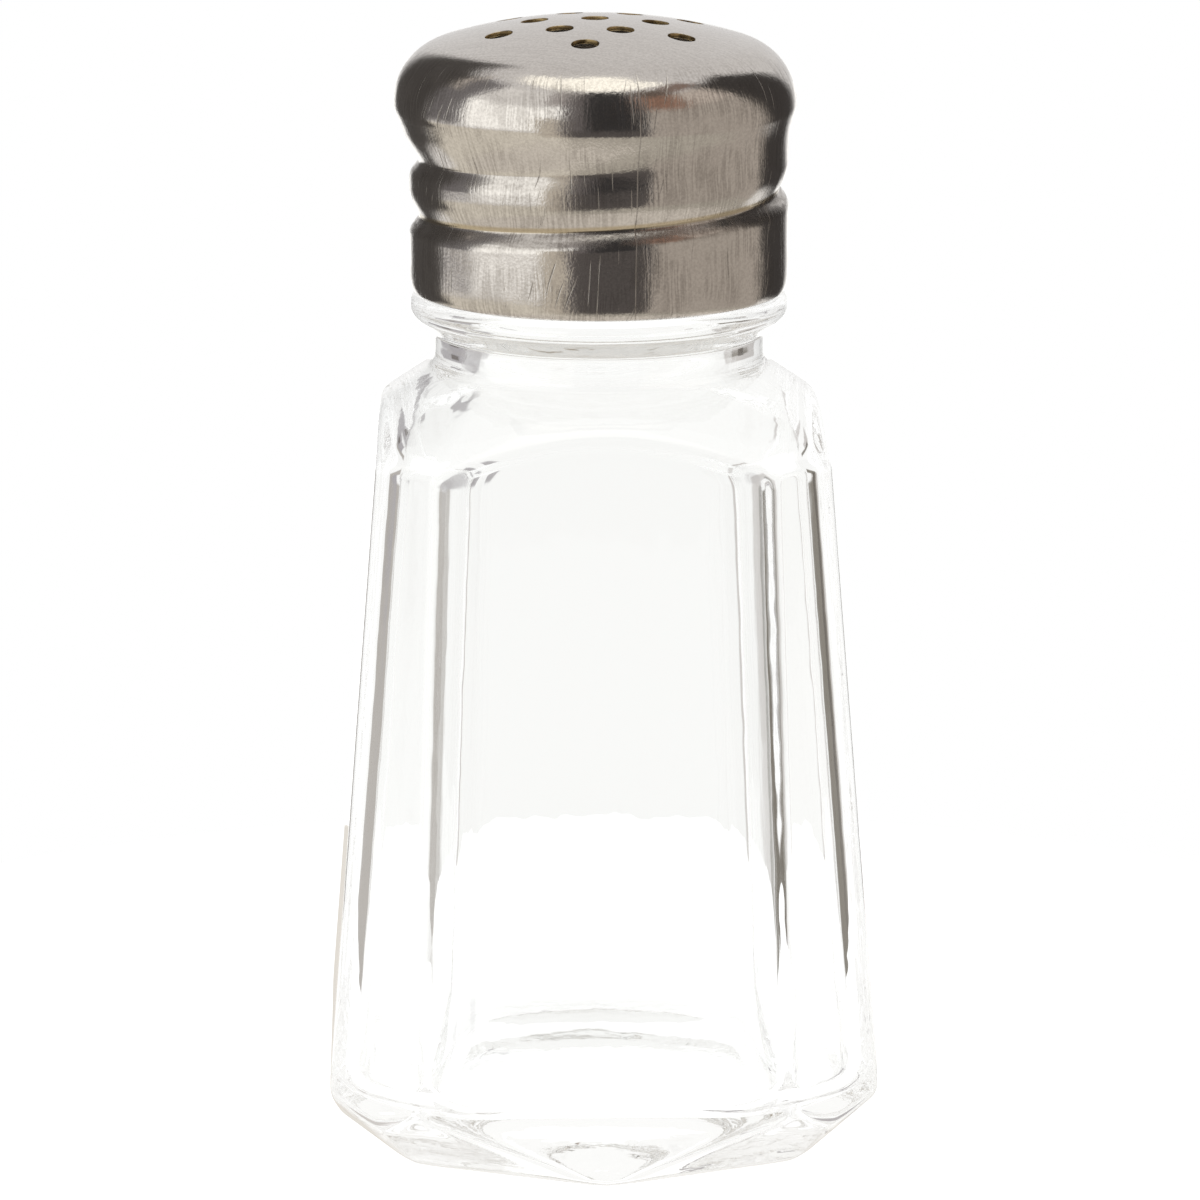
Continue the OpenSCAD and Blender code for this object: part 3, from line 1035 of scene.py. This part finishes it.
@dataclass
class SteelCap:
    """The drawn cap: a crown with sprinkle holes, a turned-down edge, a rolled thread and a skirt.

    Sizes are in millimetres and degrees.
    """

    sheet: float = 0.45
    skirt_r: float = 16.65
    band_r: float = 16.98
    dome_r: float = 18.0
    dome_edge_r: float = 5.63
    crown_r: float = 48.3
    skirt_z: float = 76.95
    band_z: float = 80.55
    waist_z: float = 90.55
    widest_z: float = 93.78
    widest_round: float = 0.6
    dome_slope: float = 18.5
    dome_lean: float = 0.35
    groove_depth: float = 0.88
    groove_up_w: float = 2.7
    groove_down_w: float = 1.7
    groove_crease: float = 0.06
    groove_start: float = 90.0
    groove_sweep: float = 580.0
    groove_fade_in: float = 45.0
    groove_fade_out: float = 140.0
    groove_mid_z: float = 83.55
    groove_lead: float = 5.08
    hole_pitch: float = 5.4
    hole_d: float = 2.4
    hole_turn: float = -7.0
    edge_steps: int = 10
    rim_round: float = 0.1
    dome_over: float = 2.0
    lean_over: float = 2.5
    skirt_curl: int = 6
    hole_margin: float = 0.05
    cell_shares: tuple[float, ...] = (0.12, 0.3, 0.55, 0.78, 1.0)
    margin_shares: tuple[float, ...] = (0.2, 0.45, 0.7, 0.88)

    def crown_turn(self) -> float:
        """Angle in degrees from the axis at which the crown meets the turned-down edge."""
        return math.degrees(
            math.asin((self.dome_r - self.dome_edge_r) / (self.crown_r - self.dome_edge_r))
        )

    def crown_z(self) -> float:
        """Height of the centre of the crown's curve."""
        turn = math.radians(self.crown_turn())
        return self.widest_z - (self.crown_r - self.dome_edge_r) * math.cos(turn)

    def hole_places(self) -> list[Vector]:
        """Middle, ring of six, and six more in the notches of that ring."""
        ring = [
            Vector((self.hole_pitch, 0, 0)) @ Matrix.Rotation(-math.radians(self.hole_turn + 60 * i), 3, "Z")
            for i in range(6)
        ]
        return [Vector((0, 0, 0)), *ring, *[ring[i] + ring[(i + 1) % 6] for i in range(6)]]

    def groove_at(self, turn: float, z: float) -> float:
        """Depth of the rolled groove at an angle in degrees and a height.

        Args:
            turn: Angle round the axis, counted on from the groove's start.
            z: The height.

        Returns:
            The depth.
        """
        deepest = 0.0
        for counted in (turn, turn + 360):
            along = counted - self.groove_start
            fade = ease(along / self.groove_fade_in)
            fade *= ease((self.groove_sweep - along) / self.groove_fade_out)
            mid = self.groove_mid_z + self.groove_lead * (counted - 180) / 360
            off = (z - mid) / (self.groove_up_w if z > mid else self.groove_down_w)
            if abs(off) < 1:
                near = (math.hypot(off, self.groove_crease) - self.groove_crease) / (1 - self.groove_crease)
                deep = self.groove_depth * fade * (1 - math.sin(math.pi / 2 * min(1.0, near)))
                deepest = max(deepest, deep)
        return deepest

    def side_r(self, z: float) -> float:
        """Outer radius of the side at a height, without the groove.

        Args:
            z: The height.

        Returns:
            The radius.
        """
        if z > self.waist_z - self.dome_over:
            below, bend = self.widest_z - z, self.widest_round
            fall = below - bend / 2 if below > bend else below * below / (2 * bend)
            slant = self.dome_r - math.tan(math.radians(self.dome_slope)) * fall
            return -soft_min(-slant, -self.band_r, bend)
        left = max(0.0, (self.band_z - z) / (self.band_z - self.skirt_z))
        return self.band_r - (self.band_r - self.skirt_r) * left**self.skirt_curl

    def side_line(self, depth: float) -> Line:
        """Outline of a skin from the crown's rim down to the skirt's edge, at a depth into the sheet.

        Args:
            depth: Depth of the skin into the sheet.

        Returns:
            The outline.
        """
        turn = self.crown_turn()
        line = arc(
            self.dome_r - self.dome_edge_r, self.widest_z, self.dome_edge_r - depth, 90 - turn, 0, 18
        )
        heights = [z for _, z in straight((0, self.widest_z), (0, self.waist_z), 16)[1:]]
        heights += [z for _, z in straight((0, self.waist_z), (0, self.band_z), 80)[1:]]
        heights += [z for _, z in straight((0, self.band_z), (0, self.skirt_z), 18)[1:]]
        return line + [(self.side_r(z) - depth, z) for z in heights]

    def crown_skin(self, depth: float) -> bmesh.types.BMesh:
        """The flat pattern of the crown: a six-sided cell round each hole.

        Args:
            depth: Depth of the skin into the sheet.

        Returns:
            The cells, lifted to the crown, with an open edge round each hole and round the lot.
        """
        bm = bmesh.new()
        count = 6 * self.edge_steps
        half = self.hole_pitch / 2
        start = math.radians(self.hole_turn + 30)
        for centre in self.hole_places():
            made = bmesh.ops.create_circle(bm, segments=count, radius=self.hole_d / 2, cap_ends=False)
            ring = made["verts"]
            edges = list({e for v in ring for e in v.link_edges})
            for i, vert in enumerate(ring):
                a = start + 2 * math.pi * i / count
                vert.co = centre + Vector((math.cos(a), math.sin(a), 0)) * self.hole_d / 2
            for share in self.cell_shares:
                grown = bmesh.ops.extrude_edge_only(bm, edges=edges)["geom"]
                edges = [g for g in grown if isinstance(g, bmesh.types.BMEdge)]
                for vert in (g for g in grown if isinstance(g, bmesh.types.BMVert)):
                    out = vert.co - centre
                    a = math.atan2(out.y, out.x)
                    off = (a - start + math.pi / 6) % (math.pi / 3) - math.pi / 6
                    flat = half / math.cos(math.pi / 6 - abs(off))
                    r = self.hole_d / 2 + (flat - self.hole_d / 2) * share
                    vert.co = centre + Vector((math.cos(a), math.sin(a), 0)) * r
        bmesh.ops.remove_doubles(bm, verts=bm.verts, dist=1e-3)
        for vert in bm.verts:
            vert.co.z = self.crown_height(vert.co.xy.length, depth)
        return bm

    def crown_height(self, r: float, depth: float) -> float:
        """Height of the crown at a radius, at a depth into the sheet."""
        return self.crown_z() + math.sqrt((self.crown_r - depth) ** 2 - r * r)

    def skin(self, depth: float) -> bmesh.types.BMesh:
        """One face of the whole sheet.

        Args:
            depth: Depth of the face into the sheet, 0 for the outside.

        Returns:
            The face, open at its holes and at the skirt's edge.
        """
        bm = self.crown_skin(depth)
        keep = bm.verts.layers.float.new("turn")
        last = bm.verts.layers.float.new("even")
        radius = bm.verts.layers.float.new("radius")
        places = self.hole_places()
        edges = [
            e for e in bm.edges if e.is_boundary and all(self.clear_of_holes(v.co, places) for v in e.verts)
        ]
        rim = sorted({v for e in edges for v in e.verts}, key=lambda v: math.atan2(v.co.y, v.co.x))
        count = len(rim)
        first = min(range(count), key=lambda i: abs(self.sector_off(rim[i].co)))
        base = math.atan2(rim[first].co.y, rim[first].co.x)
        for i, vert in enumerate(rim):
            vert[keep] = math.atan2(vert.co.y, vert.co.x)
            vert[last] = base + 2 * math.pi * (i - first) / count
            vert[radius] = vert.co.xy.length
        line = self.side_line(depth)
        join_r = line[0][0]
        for share in self.margin_shares:
            edges = self.grow(bm, edges)
            for vert in {v for e in edges for v in e.verts}:
                r = vert[radius] + (join_r - vert[radius]) * share
                a = vert[keep] + (vert[last] - vert[keep]) * share
                vert.co = (r * math.cos(a), r * math.sin(a), self.crown_height(r, depth))
        for r, z in line:
            edges = self.grow(bm, edges)
            for vert in {v for e in edges for v in e.verts}:
                a = vert[last]
                turn = (math.degrees(a) - self.groove_start) % 360 + self.groove_start
                deep = self.groove_at(turn, z) if z < self.widest_z else 0.0
                vert.co = ((r - deep) * math.cos(a), (r - deep) * math.sin(a), z)
        lean_z = self.waist_z - self.lean_over
        for vert in bm.verts:
            vert.co.x -= self.dome_lean * ease((vert.co.z - lean_z) / (self.widest_z - lean_z))
        return bm

    @staticmethod
    def grow(bm: bmesh.types.BMesh, edges: list[bmesh.types.BMEdge]) -> list[bmesh.types.BMEdge]:
        """Extrudes a loop of edges and gives back the new loop."""
        grown = bmesh.ops.extrude_edge_only(bm, edges=edges)["geom"]
        return [g for g in grown if isinstance(g, bmesh.types.BMEdge)]

    def clear_of_holes(self, place: Vector, places: list[Vector]) -> bool:
        """True if a point isn't on the edge of a hole."""
        return all((place.xy - c.xy).length > self.hole_d / 2 + self.hole_margin for c in places)

    def sector_off(self, place: Vector) -> float:
        """How far in radians a point lies from the direction of the first hole of the ring."""
        a = math.atan2(place.y, place.x) - math.radians(self.hole_turn)
        return (a + math.pi) % (2 * math.pi) - math.pi

    def build(self) -> bpy.types.Object:
        """Builds the sheet with both its faces, its punched holes and its bare edge.

        Returns:
            The piece, without its materials.
        """
        bm = self.skin(0.0)
        inside = self.skin(self.sheet)
        bmesh.ops.reverse_faces(inside, faces=inside.faces)
        for face in inside.faces:
            face.material_index = 1
        take_in(bm, inside)
        rims: list[bmesh.types.BMEdge] = []
        lean = Vector((self.dome_lean, 0, 0))
        for centre in self.hole_places():
            loops = [
                e
                for e in bm.edges
                if e.is_boundary and not any(self.clear_of_holes(v.co + lean, [centre]) for v in e.verts)
            ]
            rims += loops
            for face in bmesh.ops.bridge_loops(bm, edges=loops)["faces"]:
                face.material_index = 2
        loops = [e for e in bm.edges if e.is_boundary]
        rims += loops
        bmesh.ops.bridge_loops(bm, edges=loops)
        bmesh.ops.recalc_face_normals(bm, faces=bm.faces)
        bmesh.ops.bevel(
            bm,
            geom=rims,
            offset=self.rim_round,
            segments=2,
            affect="EDGES",
            profile=0.5,
            material=-1,
            clamp_overlap=True,
        )
        return finish_mesh(bm, "drawn_steel_cap")

    def dress(self, made: bpy.types.Object, steels: list[bpy.types.Material]) -> None:
        """Puts the steels on, and lets the piece stand for the frame's cap.

        Args:
            made: The cap.
            steels: The outside's, the inside's and the hole walls' material.
        """
        for steel in steels:
            made.data.materials.append(steel)
        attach(made, Part.CAP.value)
        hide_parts("shaker_cap")


@dataclass(frozen=True)
class Card:
    """A soft light or a dark flag far round the object, by its direction from it in degrees.

    Azimuth 0 is the camera's side, and positive is to the camera's right. A slanting card moves by
    slant in azimuth for each degree above its middle.
    """

    azimuth: float
    half_width: float
    elevation: float
    half_height: float
    edge: float
    colour: tuple[float, float, float]
    slant: float = 0.0


@dataclass
class Studio:
    """A small white table, a white surround and soft lights round it."""

    table_r: float = 0.105
    table_drop: float = 0.02
    table_shade: Colour = (0.1, 0.1, 0.1, 1)
    table_roughness: float = 0.9
    glow: float = 0.68
    floor_warmth: Colour = (1.0, 0.94, 0.85, 1)
    clear_glow: float = 0.43
    room: Colour = (0.78, 0.77, 0.765, 1)
    clear_room: Colour = (0.995, 0.99, 0.98, 1)
    bounces: int = 128
    sensor: float = 36.0
    lens: float = 204.0
    clip: tuple[float, float] = (0.01, 10.0)
    camera_place: tuple[float, float, float] = (-0.0177, -0.5997, 0.1892)
    camera_tilt: float = 0.231
    camera_swing: float = -1.7
    # What the steel mirrors
    cards: tuple[Card, ...] = (
        Card(180, 80, -55, 42, 10, (0.95, 0.94, 0.92)),
        Card(-72, 56, -50, 36, 8, (0.81, 0.77, 0.68)),
        Card(52, 74, -58, 30, 8, (0.53, 0.5, 0.44)),
        Card(76, 48, 8, 42, 6, (0.487, 0.443, 0.397)),
        Card(-54, 35, 12, 22, 9, (1.36, 1.37, 1.34)),
        Card(-56, 26, 46, 14, 8, (0.92, 0.91, 0.89)),
        Card(-28, 8, -10, 24, 6, (0.63, 0.58, 0.5)),
        Card(-28, 8, 50, 14, 6, (0.5, 0.47, 0.46)),
        Card(-13, 8, 16, 48, 6, (0.17, 0.155, 0.155)),
        Card(10, 18, 18, 48, 7, (0.048, 0.046, 0.047)),
        Card(6, 23, -19, 13, 5, (0.11, 0.1, 0.097)),
        Card(44, 14, 42, 15, 8, (0.37, 0.22, 0.16)),
        Card(46, 16, 57, 6, 5, (0.155, 0.12, 0.1)),
        Card(78, 16, 58, 6, 5, (0.27, 0.2, 0.17)),
        Card(78, 16, 38, 10, 8, (0.66, 0.59, 0.53)),
        Card(-100, 15, 24, 33, 8, (0.21, 0.2, 0.205)),
        Card(-138, 26, 10, 40, 8, (0.088, 0.082, 0.078)),
        Card(-115, 4, 45, 12, 5, (0.5, 0.46, 0.42), slant=-0.7),
        Card(122, 20, 14, 38, 8, (0.06, 0.055, 0.053), slant=-0.5),
        Card(-25, 115, 90, 23, 7, (1.52, 1.5, 1.38)),
        Card(180, 90, 90, 12, 6, (1.52, 1.5, 1.38)),
        Card(180, 19, -20, 16, 6, (1.4, 1.4, 1.38)),
    )
    # What shows through the glass
    clear_cards: tuple[Card, ...] = (
        Card(-128, 24, -11, 6, 4, (0.46, 0.43, 0.4)),
        Card(-140, 26, 4, 12, 4, (0.44, 0.42, 0.43)),
        Card(-140, 6, 3, 6, 4, (0.2, 0.18, 0.17)),
        Card(138, 18, -3, 12, 4, (0.6, 0.57, 0.55)),
        Card(124, 20, -11, 5, 4, (0.22, 0.2, 0.17)),
        Card(132, 5, -8, 4, 3, (0.13, 0.115, 0.1)),
        Card(-48, 20, -10, 6, 4, (0.62, 0.59, 0.56)),
        Card(-46, 13, 3, 9, 4, (0.6, 0.58, 0.57)),
        Card(50, 18, -10, 5, 4, (0.46, 0.43, 0.39)),
        Card(44, 12, -1, 9, 4, (0.5, 0.47, 0.44)),
    )

    def card_group(self) -> bpy.types.NodeTree:
        """The group that marks one card in the surround.

        Returns:
            The group's tree.
        """
        takes = ("Azimuth", "Rise", "At", "Half Width", "Up", "Half Height", "Edge", "Slant")
        sheet = new_group(
            "soft_card",
            {name: "NodeSocketFloat" for name in takes},
            {"Mask": "NodeSocketFloat"},
        )
        given = sheet.tree.nodes["in"].outputs
        above = sheet.math("SUBTRACT", given["Rise"], given["Up"])
        off = sheet.math("SUBTRACT", given["Azimuth"], given["At"])
        off = sheet.math("SUBTRACT", off, sheet.math("MULTIPLY", above, given["Slant"]))
        off = sheet.math("ABSOLUTE", sheet.math("WRAP", off, math.pi, -math.pi))
        wide = sheet.math("SUBTRACT", given["Half Width"], off)
        tall = sheet.math("ABSOLUTE", above)
        tall = sheet.math("SUBTRACT", given["Half Height"], tall)
        low = sheet.math("MULTIPLY", given["Edge"], -0.5)
        high = sheet.math("MULTIPLY", given["Edge"], 0.5)
        mask = sheet.math("MULTIPLY", sheet.step(wide, low, high), sheet.step(tall, low, high))
        sheet.feed(sheet.tree.nodes["out"].inputs["Mask"], mask)
        return sheet.tree

    def laid(
        self,
        sheet: NodeSheet,
        cards: tuple[Card, ...],
        ground: Colour,
        azimuth: bpy.types.NodeSocket,
        rise: bpy.types.NodeSocket,
        group: bpy.types.NodeTree,
    ) -> object:
        """Lays cards over a plain ground, the later over the earlier.

        Args:
            sheet: The surround's node sheet.
            cards: The cards.
            ground: The colour between the cards.
            azimuth: The ray's azimuth.
            rise: The ray's elevation.
            group: The group that marks one card.

        Returns:
            The socket of the whole picture.
        """
        colour: object = ground
        for card in cards:
            node = sheet.add("ShaderNodeGroup", node_tree=group)
            sheet.feed(node.inputs["Azimuth"], azimuth)
            sheet.feed(node.inputs["Rise"], rise)
            node.inputs["At"].default_value = math.radians(card.azimuth)
            node.inputs["Half Width"].default_value = math.radians(card.half_width)
            node.inputs["Up"].default_value = math.radians(card.elevation)
            node.inputs["Half Height"].default_value = math.radians(card.half_height)
            node.inputs["Edge"].default_value = math.radians(card.edge)
            node.inputs["Slant"].default_value = card.slant
            colour = sheet.mix(node.outputs["Mask"], colour, (*card.colour, 1))
        return colour

    def surround(self) -> None:
        """Builds the light round the object: one set of cards for the steel, one seen through the glass."""
        world = bpy.data.worlds.new("studio")
        bpy.context.scene.world = world
        world.use_nodes = True
        world.node_tree.nodes.clear()
        sheet = NodeSheet(world.node_tree)
        x, y, z = sheet.axes(sheet.add("ShaderNodeTexCoord").outputs["Generated"])
        azimuth = sheet.math("ARCTAN2", x, sheet.math("MULTIPLY", y, -1.0))
        rise = sheet.math("ARCSINE", z)
        path = sheet.add("ShaderNodeLightPath").outputs
        group = self.card_group()
        lit = self.laid(sheet, self.cards, self.room, azimuth, rise, group)
        clear = self.laid(sheet, self.clear_cards, self.clear_room, azimuth, rise, group)
        colour = sheet.mix(path["Is Transmission Ray"], lit, clear)
        colour = sheet.mix(path["Is Camera Ray"], colour, (1.0, 1.0, 1.0, 1))
        background = sheet.add("ShaderNodeBackground")
        sheet.feed(background.inputs["Color"], colour)
        out = sheet.add("ShaderNodeOutputWorld")
        sheet.feed(out.inputs["Surface"], background.outputs[0])

    def table(self) -> bpy.types.Object:
        """Builds the pale floor, which lets a view from below through.

        Returns:
            The floor.
        """
        bm = bmesh.new()
        bmesh.ops.create_circle(bm, segments=96, radius=self.table_r / MM, cap_ends=True)
        bmesh.ops.translate(bm, vec=(0, 0, -self.table_drop), verts=bm.verts)
        made = finish_mesh(bm, "pale_floor")
        floor, sheet, shader = blank_material("pale_floor")
        shader.inputs["Base Color"].default_value = self.table_shade
        shader.inputs["Roughness"].default_value = self.table_roughness
        shader.inputs["Specular IOR Level"].default_value = 0.0
        path = sheet.add("ShaderNodeLightPath").outputs
        mirrored = sheet.math("SUBTRACT", path["Is Glossy Ray"], path["Is Transmission Ray"])
        sheet.feed(shader.inputs["Emission Color"], sheet.mix(mirrored, (1, 1, 1, 1), self.floor_warmth))
        clear = sheet.math("MAXIMUM", path["Is Camera Ray"], path["Is Transmission Ray"])
        glow = sheet.math("MULTIPLY_ADD", clear, self.clear_glow, self.glow)
        sheet.feed(shader.inputs["Emission Strength"], glow)
        see_through = sheet.add("ShaderNodeBsdfTransparent")
        either = sheet.add("ShaderNodeMixShader")
        sheet.feed(either.inputs[0], sheet.add("ShaderNodeNewGeometry").outputs["Backfacing"])
        sheet.feed(either.inputs[1], shader.outputs[0])
        sheet.feed(either.inputs[2], see_through.outputs[0])
        out = next(n for n in floor.node_tree.nodes if n.type == "OUTPUT_MATERIAL")
        sheet.feed(out.inputs["Surface"], either.outputs[0])
        made.data.materials.append(floor)
        return made

    def camera(self) -> bpy.types.Object:
        """Sets the camera at the photograph's view.

        Returns:
            The camera.
        """
        data = bpy.data.cameras.new("camera")
        data.sensor_width = self.sensor
        data.lens = self.lens
        data.clip_start, data.clip_end = self.clip
        made = bpy.data.objects.new("camera", data)
        made.location = self.camera_place
        made.rotation_euler = (math.pi / 2 - self.camera_tilt, 0.0, math.radians(self.camera_swing))
        bpy.context.scene.collection.objects.link(made)
        bpy.context.scene.camera = made
        return made

    def build(self) -> None:
        """Builds the surround, the floor and the camera."""
        scene = bpy.context.scene
        scene.view_settings.view_transform = "Standard"
        for kind in ("max_bounces", "glossy_bounces", "transmission_bounces"):
            setattr(scene.cycles, kind, self.bounces)
        self.surround()
        self.table()
        self.camera()


def main() -> None:
    """Builds the studio, the jar and the cap."""
    logging.basicConfig(level=logging.INFO, format="%(name)s: %(message)s")
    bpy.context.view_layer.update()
    Studio().build()
    jar = GlassJar()
    glass = jar.build()
    jar.dress(glass, ClearGlass().material())
    cap = SteelCap()
    steel = cap.build()
    cap.dress(steel, [DrawnSteel().material(), INSIDE_PAINTED_SHADE_AND_GLOW.material(), GOLDEN_HOLE_WALL.material()])
    for made in (glass, steel):
        log.info("%s: %d faces", made.name, len(made.data.polygons))


if __name__ == "__main__":
    main()
